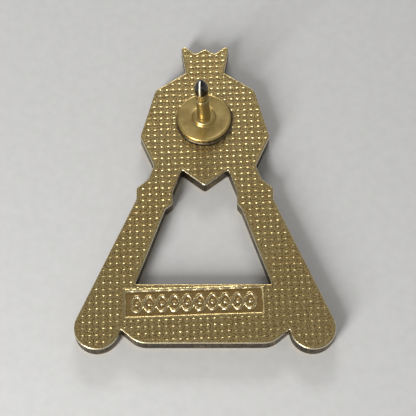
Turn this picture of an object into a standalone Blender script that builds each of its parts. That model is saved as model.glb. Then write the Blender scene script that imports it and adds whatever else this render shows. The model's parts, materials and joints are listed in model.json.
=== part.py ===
"""Pin badge: a crowned gem on two splayed legs with a bar between the feet.

The badge lies on its face: the enamelled front is at z = 0 and looks down, and the back with its post looks up.
+Y runs from the feet to the crown. Heights are measured up from the lowest point of the feet, and depths down
from the points of the crown, so a taller badge gets longer legs.
"""

import math

import bmesh
import bpy
from mathutils import Matrix, Vector

MM = 0.001

# Overall sizes
BADGE_WIDTH = 22.6 * MM
BADGE_HEIGHT = 30.2 * MM
PLATE_THICKNESS = 1.5 * MM

# Crown: half widths, and depths below its points
CROWN_POINT_X = 1.95 * MM
CROWN_POINT_RADIUS = 0.3 * MM
CROWN_PEAK_DEPTH = 0.2 * MM
CROWN_PEAK_RADIUS = 0.35 * MM
CROWN_DIP_X = 0.92 * MM
CROWN_DIP_DEPTH = 0.8 * MM
CROWN_DIP_RADIUS = 0.4 * MM
NECK_HALF_WIDTH = 1.82 * MM
NECK_DEPTH = 2.85 * MM
NECK_RADIUS = 0.12 * MM

# Gem head
SHOULDER_HALF_WIDTH = 4.65 * MM
SHOULDER_DEPTH = 4.75 * MM
SHOULDER_RADIUS = 0.6 * MM
GEM_HALF_WIDTH = 5.98 * MM
GEM_WIDEST_DEPTH = 9.65 * MM
GEM_CORNER_RADIUS = 0.5 * MM
WAIST_HALF_WIDTH = 4.66 * MM
WAIST_DEPTH = 12.65 * MM
WAIST_RADIUS = 0.3 * MM
ARMPIT_HALF_WIDTH = 2.1 * MM
ARMPIT_DEPTH = 13.08 * MM
ARMPIT_RADIUS = 0.12 * MM
CHIN_DEPTH = 14.72 * MM
CHIN_RADIUS = 0.36 * MM
FACET_LENGTH = 2.3 * MM
GEM_CENTRE_DEPTH = 8.2 * MM

# Collars at the tops of the legs
COLLAR_STEP_X = 5.15 * MM
COLLAR_STEP_DEPTH = 14.0 * MM
COLLAR_OUTER_X = 6.2 * MM
COLLAR_TOP_DEPTH = 14.9 * MM
COLLAR_BASE_DEPTH = 16.05 * MM
COLLAR_INNER_X = 2.92 * MM
COLLAR_INNER_TOP_DEPTH = 15.25 * MM
COLLAR_INNER_BASE_DEPTH = 16.5 * MM
COLLAR_RADIUS = 0.3 * MM
LEG_STEP_DEPTH = 17.05 * MM

# Legs, feet and bar: heights above the lowest point of the feet
LEG_WIDTH_AT_COLLAR = 3.3 * MM
LEG_WIDTH_AT_BAR = 3.9 * MM
LEFT_LEG_SLIMMER_BY = 0.25 * MM
FOOT_RADIUS = 2.0 * MM
NOTCH_HEIGHT = 1.85 * MM
NOTCH_RADIUS = 0.12 * MM
BAR_TOP_HEIGHT = 5.98 * MM
BAR_BASE_HEIGHT = 0.55 * MM
BAR_CORNER_INSET = 3.55 * MM
BAR_CORNER_RADIUS = 2.0 * MM

# Enamelled front
RIM_WIDTH = 0.45 * MM
RIB_WIDTH = 0.32 * MM
POCKET_DEPTH = 0.5 * MM
POCKET_RADIUS = 0.16 * MM
ENAMEL_SINK = 0.06 * MM
BAR_CENTRE_FIELD = 5.6 * MM

# Sunk panel on the back of the bar
PANEL_LENGTH = 11.9 * MM
PANEL_HEIGHT = 2.4 * MM
PANEL_DEPTH = 0.18 * MM
PANEL_OFFSET_X = -0.95 * MM
PANEL_BELOW_BAR_TOP = 1.65 * MM
PANEL_TILT = math.radians(2.1)
FRIEZE_MARGIN = 0.45 * MM
FRIEZE_WAVES = 5
FRIEZE_SWING = 0.7 * MM
FRIEZE_LINE_WIDTH = 0.26 * MM
FRIEZE_BEAD_RADIUS = 0.2 * MM

# Post, pad and solder on the back of the gem
PAD_DIAMETER = 5.0 * MM
PAD_THICKNESS = 0.45 * MM
PAD_EDGE_RADIUS = 0.16 * MM
PAD_X = -0.08 * MM
PAD_DEPTH_FROM_CROWN = 7.95 * MM
BOSS_DIAMETER = 2.1 * MM
BOSS_HEIGHT = 0.35 * MM
POST_DIAMETER = 1.2 * MM
POST_HEIGHT = 7.15 * MM
POST_TIP_LENGTH = 1.35 * MM
POST_TIP_RADIUS = 0.06 * MM
POST_LEAN = math.radians(2.5)
GROOVE_FROM_TIP = 3.1 * MM
GROOVE_WIDTH = 0.36 * MM
GROOVE_DEPTH = 0.1 * MM
HEAD_DIAMETER = 2.0 * MM
HEAD_THICKNESS = 0.2 * MM
SOLDER_THICKNESS = 0.06 * MM
SOLDER_FILLET = 0.18 * MM

# Clearances between pieces that are bonded, and what a cutter runs past a face
BOND_GAP = 0.02 * MM
CUT_MARGIN = 0.5 * MM

# Smoothness of round shapes
CORNER_STEPS = 5
FOOT_STEPS = 22
TURNED_STEPS = 56
WAVE_STEPS = 10
STRAIGHT = 1e-6

CROWN_TOP = BADGE_HEIGHT
FOOT_X = BADGE_WIDTH / 2 - FOOT_RADIUS
BACK_Z = PLATE_THICKNESS

COLOURS = {
    "gold": ((0.58, 0.46, 0.22), 0.36, 1.0),
    "polished_gold": ((0.62, 0.5, 0.25), 0.2, 1.0),
    "solder": ((0.45, 0.45, 0.42), 0.4, 1.0),
    "red": ((0.45, 0.02, 0.03), 0.15, 0.0),
    "blue": ((0.02, 0.08, 0.33), 0.15, 0.0),
    "sky": ((0.1, 0.32, 0.6), 0.15, 0.0),
    "white": ((0.8, 0.79, 0.74), 0.15, 0.0),
}


# --- Plane geometry -------------------------------------------------------------------------------------------

def corner(x, height, radius=0.0):
    """A corner of an outline, with the radius that rounds it off."""
    return (x, height, radius)


def arc(centre, radius, start, end, steps):
    """Corners along an arc, from one angle to another."""
    points = []
    for step in range(steps + 1):
        angle = start + (end - start) * step / steps
        points.append(corner(centre[0] + radius * math.cos(angle), centre[1] + radius * math.sin(angle)))
    return points


def tangent_angle(point, centre, radius, side):
    """Where a line from an outside point touches a circle, as an angle at the circle's centre."""
    dx = point[0] - centre[0]
    dy = point[1] - centre[1]
    return math.atan2(dy, dx) + side * math.acos(radius / math.hypot(dx, dy))


def line_x(first, second, height):
    """The x of the line through two points, at a height."""
    share = (height - first[1]) / (second[1] - first[1])
    return first[0] + (second[0] - first[0]) * share


def mirrored(loop):
    """The loop's mirror image in the badge's middle line, running the same way round."""
    return [corner(-x, height, radius) for x, height, radius in reversed(loop)]


def both_halves(right_half):
    """A closed loop from its right half, whose ends on the middle line are used once."""
    left_half = [point for point in mirrored(right_half) if point[0] < 0]
    return right_half + left_half


def meeting_point(first, second):
    """Where two edges meet once each has moved inwards by its own width."""
    along_first = (first["end"] - first["start"]).normalized()
    along_second = (second["end"] - second["start"]).normalized()
    moved_first = Vector((-along_first.y, along_first.x)) * first["width"]
    moved_second = Vector((-along_second.y, along_second.x)) * second["width"]
    from_place = first["end"] + moved_first
    to_place = second["start"] + moved_second
    turn = along_first.cross(along_second)
    if abs(turn) < STRAIGHT:
        return (from_place + to_place) / 2
    return from_place + along_first * ((to_place - from_place).cross(along_second) / turn)


def inset(loop, widths):
    """Move each edge of an anticlockwise loop inwards by its own width. An edge that shrinks away drops out."""
    edges = []
    for index, (x, height, radius) in enumerate(loop):
        end = loop[(index + 1) % len(loop)]
        edges.append({"start": Vector((x, height)), "end": Vector(end[:2]), "width": widths[index],
                      "radius": radius, "number": index})
    while True:
        places = [meeting_point(edges[index - 1], edge) for index, edge in enumerate(edges)]
        kept = []
        for index, edge in enumerate(edges):
            moved = places[(index + 1) % len(edges)] - places[index]
            if moved.dot(edge["end"] - edge["start"]) > 0:
                kept.append(edge)
        if len(kept) == len(edges):
            break
        edges = kept
    corners = []
    for index, edge in enumerate(edges):
        neighbours = (edge["number"] - edges[index - 1]["number"]) % len(loop) == 1
        radius = edge["radius"] if neighbours else POCKET_RADIUS
        corners.append(corner(places[index].x, places[index].y, radius))
    return corners


def rounded(loop):
    """Round off each corner of a loop by its radius, as far as its two edges leave room."""
    points = []
    count = len(loop)
    for index in range(count):
        before = Vector(loop[index - 1][:2])
        here = Vector(loop[index][:2])
        after = Vector(loop[(index + 1) % count][:2])
        radius = loop[index][2]
        to_before = (before - here).normalized()
        to_after = (after - here).normalized()
        opening = to_before.angle(to_after)
        if radius <= 0 or opening > math.radians(178):
            points.append(tuple(here))
            continue
        room = 0.45 * min((before - here).length, (after - here).length)
        reach = min(radius / math.tan(opening / 2), room)
        radius = reach * math.tan(opening / 2)
        bisector = (to_before + to_after).normalized()
        centre = here + bisector * (radius / math.sin(opening / 2))
        first = here + to_before * reach - centre
        last = here + to_after * reach - centre
        swing = first.angle_signed(last)
        for step in range(CORNER_STEPS + 1):
            spoke = first.copy()
            spoke.rotate(Matrix.Rotation(-swing * step / CORNER_STEPS, 2))
            points.append(tuple(centre + spoke))
    return points


# --- The outline's corners ------------------------------------------------------------------------------------

FOOT_CENTRE = (FOOT_X, FOOT_RADIUS)
NECK = corner(NECK_HALF_WIDTH, CROWN_TOP - NECK_DEPTH, NECK_RADIUS)
SHOULDER = corner(SHOULDER_HALF_WIDTH, CROWN_TOP - SHOULDER_DEPTH, SHOULDER_RADIUS)
GEM_SIDE = corner(GEM_HALF_WIDTH, CROWN_TOP - GEM_WIDEST_DEPTH, GEM_CORNER_RADIUS)
WAIST = corner(WAIST_HALF_WIDTH, CROWN_TOP - WAIST_DEPTH, WAIST_RADIUS)
COLLAR_STEP = corner(COLLAR_STEP_X, CROWN_TOP - COLLAR_STEP_DEPTH, COLLAR_RADIUS)
COLLAR_TOP = corner(COLLAR_OUTER_X, CROWN_TOP - COLLAR_TOP_DEPTH, COLLAR_RADIUS)
COLLAR_BASE = corner(COLLAR_OUTER_X, CROWN_TOP - COLLAR_BASE_DEPTH, COLLAR_RADIUS)
CHIN = corner(0.0, CROWN_TOP - CHIN_DEPTH, CHIN_RADIUS)
ARMPIT = corner(ARMPIT_HALF_WIDTH, CROWN_TOP - ARMPIT_DEPTH, ARMPIT_RADIUS)
COLLAR_INNER_TOP = corner(COLLAR_INNER_X, CROWN_TOP - COLLAR_INNER_TOP_DEPTH, COLLAR_RADIUS)
COLLAR_INNER_BASE = corner(COLLAR_INNER_X, CROWN_TOP - COLLAR_INNER_BASE_DEPTH, COLLAR_RADIUS)

LEG_TANGENT = tangent_angle(COLLAR_BASE, FOOT_CENTRE, FOOT_RADIUS, -1)
LEG_END = arc(FOOT_CENTRE, FOOT_RADIUS, LEG_TANGENT, LEG_TANGENT, 1)[0]
NOTCH_REACH = math.sqrt(FOOT_RADIUS ** 2 - (FOOT_RADIUS - NOTCH_HEIGHT) ** 2)
NOTCH = corner(FOOT_X - NOTCH_REACH, NOTCH_HEIGHT, NOTCH_RADIUS)
NOTCH_ANGLE = math.atan2(NOTCH_HEIGHT - FOOT_RADIUS, -NOTCH_REACH)
BAR_CORNER = corner(FOOT_X - BAR_CORNER_INSET, BAR_BASE_HEIGHT, BAR_CORNER_RADIUS)

LEG_STEP_HEIGHT = CROWN_TOP - LEG_STEP_DEPTH
LEG_OUTER_AT_BAR = corner(line_x(COLLAR_BASE, LEG_END, BAR_TOP_HEIGHT), BAR_TOP_HEIGHT, POCKET_RADIUS)


def leg_inner_corners(slimmer_by):
    """The inner corners of a leg, at the bar and under the collar."""
    step_x = line_x(COLLAR_BASE, LEG_END, LEG_STEP_HEIGHT) - LEG_WIDTH_AT_COLLAR + slimmer_by
    bar_x = LEG_OUTER_AT_BAR[0] - LEG_WIDTH_AT_BAR + slimmer_by
    return corner(bar_x, BAR_TOP_HEIGHT, NOTCH_RADIUS), corner(step_x, LEG_STEP_HEIGHT, COLLAR_RADIUS)


def crown_edge():
    """The crown's upper edge, from its outer side to its middle."""
    point_centre = (CROWN_POINT_X, CROWN_TOP - CROWN_POINT_RADIUS)
    dip = corner(CROWN_DIP_X, CROWN_TOP - CROWN_DIP_DEPTH, CROWN_DIP_RADIUS)
    peak = corner(0.0, CROWN_TOP - CROWN_PEAK_DEPTH, CROWN_PEAK_RADIUS)
    start = tangent_angle(NECK, point_centre, CROWN_POINT_RADIUS, 1)
    end = tangent_angle(dip, point_centre, CROWN_POINT_RADIUS, -1)
    if end < start:
        end += 2 * math.pi
    return arc(point_centre, CROWN_POINT_RADIUS, start, end, 2 * CORNER_STEPS) + [dip, peak]


def foot_edge():
    """The foot's round edge, from the notch beside the bar to the outer side of the leg."""
    inner = NOTCH_ANGLE + 2 * math.pi if NOTCH_ANGLE < 0 else NOTCH_ANGLE
    whole = arc(FOOT_CENTRE, FOOT_RADIUS, inner, LEG_TANGENT + 2 * math.pi, FOOT_STEPS)
    return whole[1:]


def badge_outline():
    """The outer edge, anticlockwise from the middle of the bar's underside."""
    right = [corner(0.0, BAR_BASE_HEIGHT), BAR_CORNER, NOTCH]
    right += foot_edge()
    right += [COLLAR_BASE, COLLAR_TOP, COLLAR_STEP, WAIST, GEM_SIDE, SHOULDER, NECK]
    right += crown_edge()
    return both_halves(right)


def opening_outline():
    """The edge of the gap between the legs, anticlockwise."""
    sides = []
    for slimmer_by in (0.0, LEFT_LEG_SLIMMER_BY):
        sides.append([*leg_inner_corners(slimmer_by), COLLAR_INNER_BASE, COLLAR_INNER_TOP, ARMPIT])
    return sides[0] + [CHIN] + mirrored(sides[1])


# --- The enamel fields ----------------------------------------------------------------------------------------

def rim_radius(corners, index):
    """The radius of a field's corner that runs round inside a rounded corner of the outline."""
    before = Vector(corners[index - 1][:2])
    here = Vector(corners[index][:2])
    after = Vector(corners[(index + 1) % len(corners)][:2])
    radius = corners[index][2]
    if radius == 0.0:
        return 0.0
    if (here - before).cross(after - here) < 0:
        return radius + RIM_WIDTH
    return max(radius - RIM_WIDTH, POCKET_RADIUS)


def gem_table_corner(outer):
    """A corner of the gem's flat table, straight inwards from a corner of the gem's outline."""
    centre = Vector((0.0, CROWN_TOP - GEM_CENTRE_DEPTH))
    start = Vector(outer[:2])
    place = start + (centre - start).normalized() * FACET_LENGTH
    return corner(place.x, place.y, POCKET_RADIUS)


def field(corners, edges):
    """A field's corners with, for each edge that starts there, R for the badge's rim or L for a metal line."""
    softened = []
    for index, (x, height, radius) in enumerate(corners):
        on_rim = edges[index - 1] == "R" and edges[index] == "R"
        softened.append(corner(x, height, rim_radius(corners, index) if on_rim else POCKET_RADIUS))
    widths = [RIM_WIDTH if edge == "R" else RIB_WIDTH / 2 for edge in edges]
    return inset(softened, widths)


def side_fields(slimmer_by):
    """The fields of one half, drawn on the right, by name, with their colours."""
    bar_end, leg_step = leg_inner_corners(slimmer_by)
    neck = gem_table_corner(NECK)
    shoulder = gem_table_corner(SHOULDER)
    side = gem_table_corner(GEM_SIDE)
    waist = gem_table_corner(WAIST)
    chin = gem_table_corner(CHIN)
    foot = foot_edge()
    foot_corners = [NOTCH] + foot + [LEG_OUTER_AT_BAR, bar_end]
    foot_edges = "R" * (len(foot) + 1) + "LL"
    half_centre = BAR_CENTRE_FIELD / 2
    split_low = corner(half_centre, BAR_BASE_HEIGHT, POCKET_RADIUS)
    split_high = corner(half_centre, BAR_TOP_HEIGHT, POCKET_RADIUS)
    return {
        "gem_upper": ("sky", field([SHOULDER, NECK, neck, shoulder], "RLLL")),
        "gem_side": ("blue", field([GEM_SIDE, SHOULDER, shoulder, side], "RLLL")),
        "gem_lower": ("sky", field([WAIST, GEM_SIDE, side, waist], "RLLL")),
        "chin": ("blue", field([CHIN, ARMPIT, WAIST, waist, chin], "RLLLL")),
        "leg_top": ("red", field([ARMPIT, COLLAR_INNER_TOP, COLLAR_TOP, COLLAR_STEP, WAIST], "RLRRL")),
        "collar": ("white", field([COLLAR_INNER_TOP, COLLAR_INNER_BASE, COLLAR_BASE, COLLAR_TOP], "RLRL")),
        "leg": ("red", field([COLLAR_INNER_BASE, leg_step, bar_end, LEG_OUTER_AT_BAR, COLLAR_BASE], "RRLRL")),
        "foot": ("blue", field(foot_corners, foot_edges)),
        "bar_end": ("blue", field([split_low, BAR_CORNER, NOTCH, bar_end, split_high], "RRLRL")),
    }


def middle_fields():
    """The fields that lie across the badge's middle line, by name, with their colours."""
    table = [gem_table_corner(outer) for outer in (CHIN, WAIST, GEM_SIDE, SHOULDER, NECK)]
    crown = [NECK] + crown_edge()
    neck = gem_table_corner(NECK)
    half_centre = BAR_CENTRE_FIELD / 2
    split_low = corner(half_centre, BAR_BASE_HEIGHT, POCKET_RADIUS)
    split_high = corner(half_centre, BAR_TOP_HEIGHT, POCKET_RADIUS)
    crown_loop = both_halves(crown)
    top_loop = [neck, NECK] + mirrored([neck, NECK])
    centre_loop = [split_low, split_high] + mirrored([split_low, split_high])
    table_loop = both_halves(table)
    return {
        "crown": ("red", field(crown_loop, "R" * (len(crown_loop) - 1) + "L")),
        "gem_top": ("blue", field(top_loop, "LLLL")),
        "gem_table": ("blue", field(table_loop, "L" * len(table_loop))),
        "bar_centre": ("white", field(centre_loop, "LRLR")),
    }


def enamel_fields():
    """Every field of the front, by the name of its fill: its colour and its loop of corners."""
    fields = {}
    for name, (colour, loop) in middle_fields().items():
        fields["enamel_" + name] = (colour, loop)
    for name, (colour, loop) in side_fields(0.0).items():
        fields["enamel_" + name + "_right"] = (colour, loop)
    for name, (colour, loop) in side_fields(LEFT_LEG_SLIMMER_BY).items():
        fields["enamel_" + name + "_left"] = (colour, mirrored(loop))
    return fields


# --- Solids ---------------------------------------------------------------------------------------------------

def material(name):
    """The finish of a sub-part, made once."""
    if name in bpy.data.materials:
        return bpy.data.materials[name]
    colour, roughness, metallic = COLOURS[name]
    made = bpy.data.materials.new(name)
    made.use_nodes = True
    shader = made.node_tree.nodes["Principled BSDF"]
    shader.inputs["Base Color"].default_value = (*colour, 1.0)
    shader.inputs["Roughness"].default_value = roughness
    shader.inputs["Metallic"].default_value = metallic
    made.diffuse_color = (*colour, 1.0)
    return made


def add_object(name, mesh_builder, finish, parent):
    """Put a finished bmesh into the scene as a named object."""
    bmesh.ops.recalc_face_normals(mesh_builder, faces=mesh_builder.faces)
    mesh = bpy.data.meshes.new(name)
    mesh_builder.to_mesh(mesh)
    mesh_builder.free()
    mesh.materials.append(material(finish))
    added = bpy.data.objects.new(name, mesh)
    added.parent = parent
    bpy.context.scene.collection.objects.link(added)
    return added


def extrude_loop(builder, points, low, high):
    """Add a straight prism over a loop of points."""
    bottom = [builder.verts.new((x, y, low)) for x, y in points]
    face = builder.faces.new(bottom)
    extruded = bmesh.ops.extrude_face_region(builder, geom=[face], use_keep_orig=True)
    top = [item for item in extruded["geom"] if isinstance(item, bmesh.types.BMVert)]
    bmesh.ops.translate(builder, verts=top, vec=(0.0, 0.0, high - low))


def turn(builder, profile):
    """Turn a closed profile of (radius, z) points around the z axis."""
    rings = []
    for radius, z in profile:
        if radius == 0.0:
            rings.append([builder.verts.new((0.0, 0.0, z))])
            continue
        ring = []
        for step in range(TURNED_STEPS):
            angle = 2 * math.pi * step / TURNED_STEPS
            ring.append(builder.verts.new((radius * math.cos(angle), radius * math.sin(angle), z)))
        rings.append(ring)
    for index, ring in enumerate(rings):
        after = rings[(index + 1) % len(rings)]
        if len(ring) == 1 and len(after) == 1:
            continue
        for step in range(TURNED_STEPS):
            beside = (step + 1) % TURNED_STEPS
            if len(ring) == 1:
                builder.faces.new((ring[0], after[step], after[beside]))
            elif len(after) == 1:
                builder.faces.new((ring[step], ring[beside], after[0]))
            else:
                builder.faces.new((ring[step], ring[beside], after[beside], after[step]))


def profile_arc(radius_centre, z_centre, radius, start, end):
    """Profile points along a rounded edge."""
    points = []
    for step in range(CORNER_STEPS + 1):
        angle = math.radians(start + (end - start) * step / CORNER_STEPS)
        points.append((radius_centre + radius * math.cos(angle), z_centre + radius * math.sin(angle)))
    return points


def shade_round(round_piece):
    """Shade a turned piece smooth, apart from its real edges."""
    round_piece.data.shade_smooth()
    round_piece.data.set_sharp_from_angle(angle=math.radians(35))


def as_cutter(cutter):
    """Keep a construction solid out of the finished badge."""
    cutter.hide_render = True
    cutter.display_type = "WIRE"
    return cutter


def apply_boolean(target, other, operation):
    """Cut or join one solid with another."""
    modifier = target.modifiers.new(other.name, "BOOLEAN")
    modifier.operation = operation
    modifier.solver = "EXACT"
    modifier.object = other


def panel_place():
    """The middle of the sunk panel and its tilt, as a matrix."""
    middle = Vector((PANEL_OFFSET_X, BAR_TOP_HEIGHT - PANEL_BELOW_BAR_TOP, 0.0))
    return Matrix.Translation(middle) @ Matrix.Rotation(PANEL_TILT, 4, "Z")


def on_panel(points):
    """Points given along the panel, as points on the badge."""
    place = panel_place()
    return [tuple((place @ Vector((x, y, 0.0)))[:2]) for x, y in points]


def frieze_line(phase):
    """One waving line of the frieze, as a loop of points along the panel."""
    half_length = PANEL_LENGTH / 2 - FRIEZE_MARGIN
    steps = WAVE_STEPS * FRIEZE_WAVES
    upper = []
    lower = []
    for step in range(steps + 1):
        x = -half_length + 2 * half_length * step / steps
        turn_angle = math.pi * FRIEZE_WAVES * (x / half_length) + phase
        y = FRIEZE_SWING * math.sin(turn_angle)
        slope = FRIEZE_SWING * math.cos(turn_angle) * math.pi * FRIEZE_WAVES / half_length
        normal = Vector((-slope, 1.0)).normalized() * (FRIEZE_LINE_WIDTH / 2)
        upper.append((x + normal.x, y + normal.y))
        lower.append((x - normal.x, y - normal.y))
    return lower + upper[::-1]


def frieze_beads():
    """The middles of the beads, one in each eye of the frieze."""
    half_length = PANEL_LENGTH / 2 - FRIEZE_MARGIN
    eye = half_length / FRIEZE_WAVES
    return [-half_length + eye * (index + 0.5) for index in range(2 * FRIEZE_WAVES)]


def make_plate(root, fields):
    """The struck plate with its gap, its enamel pockets and the sunk panel with its frieze."""
    builder = bmesh.new()
    extrude_loop(builder, rounded(badge_outline()), 0.0, BACK_Z)
    plate = add_object("badge_plate", builder, "gold", root)

    builder = bmesh.new()
    extrude_loop(builder, rounded(opening_outline()), -CUT_MARGIN, BACK_Z + CUT_MARGIN)
    for colour, loop in fields.values():
        extrude_loop(builder, rounded(loop), -CUT_MARGIN, POCKET_DEPTH)
    half_length = PANEL_LENGTH / 2
    half_height = PANEL_HEIGHT / 2
    panel = [(-half_length, -half_height), (half_length, -half_height)]
    panel += [(half_length, half_height), (-half_length, half_height)]
    floor_z = BACK_Z - PANEL_DEPTH
    extrude_loop(builder, on_panel(panel), floor_z, BACK_Z + CUT_MARGIN)
    cuts = as_cutter(add_object("plate_cuts", builder, "gold", root))
    apply_boolean(plate, cuts, "DIFFERENCE")

    for index, phase in enumerate((0.0, math.pi)):
        builder = bmesh.new()
        extrude_loop(builder, on_panel(frieze_line(phase)), floor_z - PANEL_DEPTH, BACK_Z)
        line = as_cutter(add_object("frieze_line_" + str(index), builder, "gold", root))
        apply_boolean(plate, line, "UNION")
    builder = bmesh.new()
    for x in frieze_beads():
        bead = [point[:2] for point in arc((x, 0.0), FRIEZE_BEAD_RADIUS, 0.0, 2 * math.pi, 2 * CORNER_STEPS)[:-1]]
        extrude_loop(builder, on_panel(bead), floor_z - PANEL_DEPTH, BACK_Z)
    beads = as_cutter(add_object("frieze_beads", builder, "gold", root))
    apply_boolean(plate, beads, "UNION")
    return plate


def make_enamel(root, name, colour, loop):
    """One enamel fill, a little below the metal lines around it."""
    builder = bmesh.new()
    shrunk = inset(loop, [BOND_GAP] * len(loop))
    extrude_loop(builder, rounded(shrunk), ENAMEL_SINK, POCKET_DEPTH - BOND_GAP)
    return add_object(name, builder, colour, root)


PAD_UNDERSIDE = BACK_Z + BOND_GAP + SOLDER_THICKNESS + BOND_GAP
PAD_TOP = PAD_UNDERSIDE + PAD_THICKNESS
POST_HEAD_BASE = PAD_UNDERSIDE + BOND_GAP
LEAN_PIVOT = (POST_HEAD_BASE + PAD_TOP + BOSS_HEIGHT) / 2
LEAN_SWING = math.tan(POST_LEAN) * (PAD_TOP + BOSS_HEIGHT - POST_HEAD_BASE) / 2


def make_solder(holder):
    """The solder between plate and pad, with the fillet that creeps up the pad's edge."""
    pad_radius = PAD_DIAMETER / 2
    low = BACK_Z + BOND_GAP
    inner = pad_radius + BOND_GAP
    outer = inner + SOLDER_FILLET
    builder = bmesh.new()
    profile = [(0.0, low), (outer, low)]
    profile += profile_arc(outer, low + SOLDER_THICKNESS + SOLDER_FILLET, SOLDER_FILLET, 270, 180)
    profile += [(inner, low + SOLDER_THICKNESS), (0.0, low + SOLDER_THICKNESS)]
    turn(builder, profile)
    piece = add_object("solder_joint", builder, "solder", holder)
    shade_round(piece)
    return piece


def make_pad(holder):
    """The round pad, with a hole and a raised collar for the post and a seat for its head."""
    pad_radius = PAD_DIAMETER / 2
    hole = POST_DIAMETER / 2 / math.cos(POST_LEAN) + LEAN_SWING + BOND_GAP
    head_room = HEAD_DIAMETER / 2 + LEAN_SWING + BOND_GAP
    head_ceiling = POST_HEAD_BASE + HEAD_THICKNESS + math.tan(POST_LEAN) * HEAD_DIAMETER + BOND_GAP
    boss_radius = max(BOSS_DIAMETER / 2, hole + PAD_EDGE_RADIUS)
    boss_top = PAD_TOP + BOSS_HEIGHT
    boss_edge = min(BOSS_HEIGHT, boss_radius - hole) * 0.8
    builder = bmesh.new()
    profile = [(head_room, PAD_UNDERSIDE), (head_room, head_ceiling), (hole, head_ceiling), (hole, boss_top)]
    profile += profile_arc(boss_radius - boss_edge, boss_top - boss_edge, boss_edge, 90, 0)
    profile += [(boss_radius, PAD_TOP)]
    profile += profile_arc(pad_radius - PAD_EDGE_RADIUS, PAD_TOP - PAD_EDGE_RADIUS, PAD_EDGE_RADIUS, 90, 0)
    profile += [(pad_radius, PAD_UNDERSIDE)]
    turn(builder, profile)
    piece = add_object("post_pad", builder, "gold", holder)
    shade_round(piece)
    return piece


def make_post(holder):
    """The nail: flat head under the pad, round shank with a clutch groove, and a pointed tip."""
    radius = POST_DIAMETER / 2
    tip_z = BACK_Z + POST_HEIGHT
    groove_low = tip_z - GROOVE_FROM_TIP - GROOVE_WIDTH / 2
    groove_high = tip_z - GROOVE_FROM_TIP + GROOVE_WIDTH / 2
    head_base = POST_HEAD_BASE + math.tan(POST_LEAN) * HEAD_DIAMETER / 2
    head_top = head_base + HEAD_THICKNESS
    builder = bmesh.new()
    profile = [(0.0, head_base), (HEAD_DIAMETER / 2, head_base), (HEAD_DIAMETER / 2, head_top)]
    profile += [(radius, head_top), (radius, groove_low)]
    profile += [(radius - GROOVE_DEPTH, groove_low + GROOVE_DEPTH)]
    profile += [(radius - GROOVE_DEPTH, groove_high - GROOVE_DEPTH), (radius, groove_high)]
    profile += [(radius, tip_z - POST_TIP_LENGTH)]
    for share in (0.35, 0.7):
        ogive = radius * math.cos(share * math.pi / 2) ** 0.8
        profile.append((ogive, tip_z - POST_TIP_LENGTH * (1 - share)))
    profile += [(POST_TIP_RADIUS, tip_z - POST_TIP_RADIUS), (0.0, tip_z)]
    turn(builder, profile)
    lean = Matrix.Translation((0.0, 0.0, LEAN_PIVOT)) @ Matrix.Rotation(-POST_LEAN, 4, "Y")
    lean = lean @ Matrix.Translation((0.0, 0.0, -LEAN_PIVOT))
    bmesh.ops.transform(builder, matrix=lean, verts=builder.verts)
    piece = add_object("pin_post", builder, "polished_gold", holder)
    shade_round(piece)
    return piece


def build_badge():
    """Clear the scene and build the whole badge, centred over the origin."""
    for old in list(bpy.data.objects):
        bpy.data.objects.remove(old)
    scene = bpy.context.scene.collection
    root = bpy.data.objects.new("badge", None)
    root.location = (0.0, -BADGE_HEIGHT / 2, 0.0)
    scene.objects.link(root)
    holder = bpy.data.objects.new("post_axis", None)
    holder.location = (PAD_X, CROWN_TOP - PAD_DEPTH_FROM_CROWN, 0.0)
    holder.parent = root
    scene.objects.link(holder)

    fields = enamel_fields()
    make_plate(root, fields)
    for name, (colour, loop) in fields.items():
        make_enamel(root, name, colour, loop)
    make_solder(holder)
    make_pad(holder)
    make_post(holder)


build_badge()
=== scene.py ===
"""Looks of the pin badge: the struck plate, its enamel, the soldered pad and the polished post.

The badge lies on its face. Lengths below are in millimetres, in the badge's own frame, until a
mesh is made.
"""

import json
import math

import bpy
import numpy as np
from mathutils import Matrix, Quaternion, Vector
from mathutils.geometry import delaunay_2d_cdt
from mathutils.kdtree import KDTree


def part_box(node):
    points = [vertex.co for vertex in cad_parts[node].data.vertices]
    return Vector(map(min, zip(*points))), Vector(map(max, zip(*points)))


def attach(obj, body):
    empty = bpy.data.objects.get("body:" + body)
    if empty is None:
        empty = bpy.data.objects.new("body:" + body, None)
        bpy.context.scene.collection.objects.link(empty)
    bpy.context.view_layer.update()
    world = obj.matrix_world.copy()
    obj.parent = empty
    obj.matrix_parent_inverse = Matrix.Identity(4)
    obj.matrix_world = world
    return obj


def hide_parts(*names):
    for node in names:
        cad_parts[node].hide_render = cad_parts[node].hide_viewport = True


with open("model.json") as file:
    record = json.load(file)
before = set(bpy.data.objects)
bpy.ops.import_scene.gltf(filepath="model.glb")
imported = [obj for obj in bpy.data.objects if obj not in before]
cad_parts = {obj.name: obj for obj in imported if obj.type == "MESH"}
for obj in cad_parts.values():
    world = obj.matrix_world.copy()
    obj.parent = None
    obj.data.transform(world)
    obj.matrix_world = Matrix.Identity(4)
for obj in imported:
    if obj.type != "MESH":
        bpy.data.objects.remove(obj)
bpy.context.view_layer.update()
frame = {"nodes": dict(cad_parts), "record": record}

MM = 0.001
BODY = "root"

# Waffle on the back
WAFFLE_PITCH = 0.6
WAFFLE_TILT = math.radians(2.1)
WAFFLE_BUMP = (-0.22, 0.19)
BUMP_RADIUS = 0.155
BUMP_BULGE = 1.8
BUMP_HEIGHT = 0.042
BUMP_SQUARENESS = 2.6
COLUMN_RISE = 0.013
ROW_RISE = 0.007
DASH_RISE = 0.017
DASH_HALF_WIDTH = 0.09
DASH_HALF_LENGTH = 0.18
WAFFLE_GROUND = -0.082
STEPS_PER_PITCH = 5
DOT_STRAY = 0.03
DOT_CHANCES = ((12.9898, 78.233), (39.35, 11.14))
DOT_RINGS = ((0.3, 6), (0.6, 10), (0.85, 12), (1.02, 14), (1.2, 14))

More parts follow.
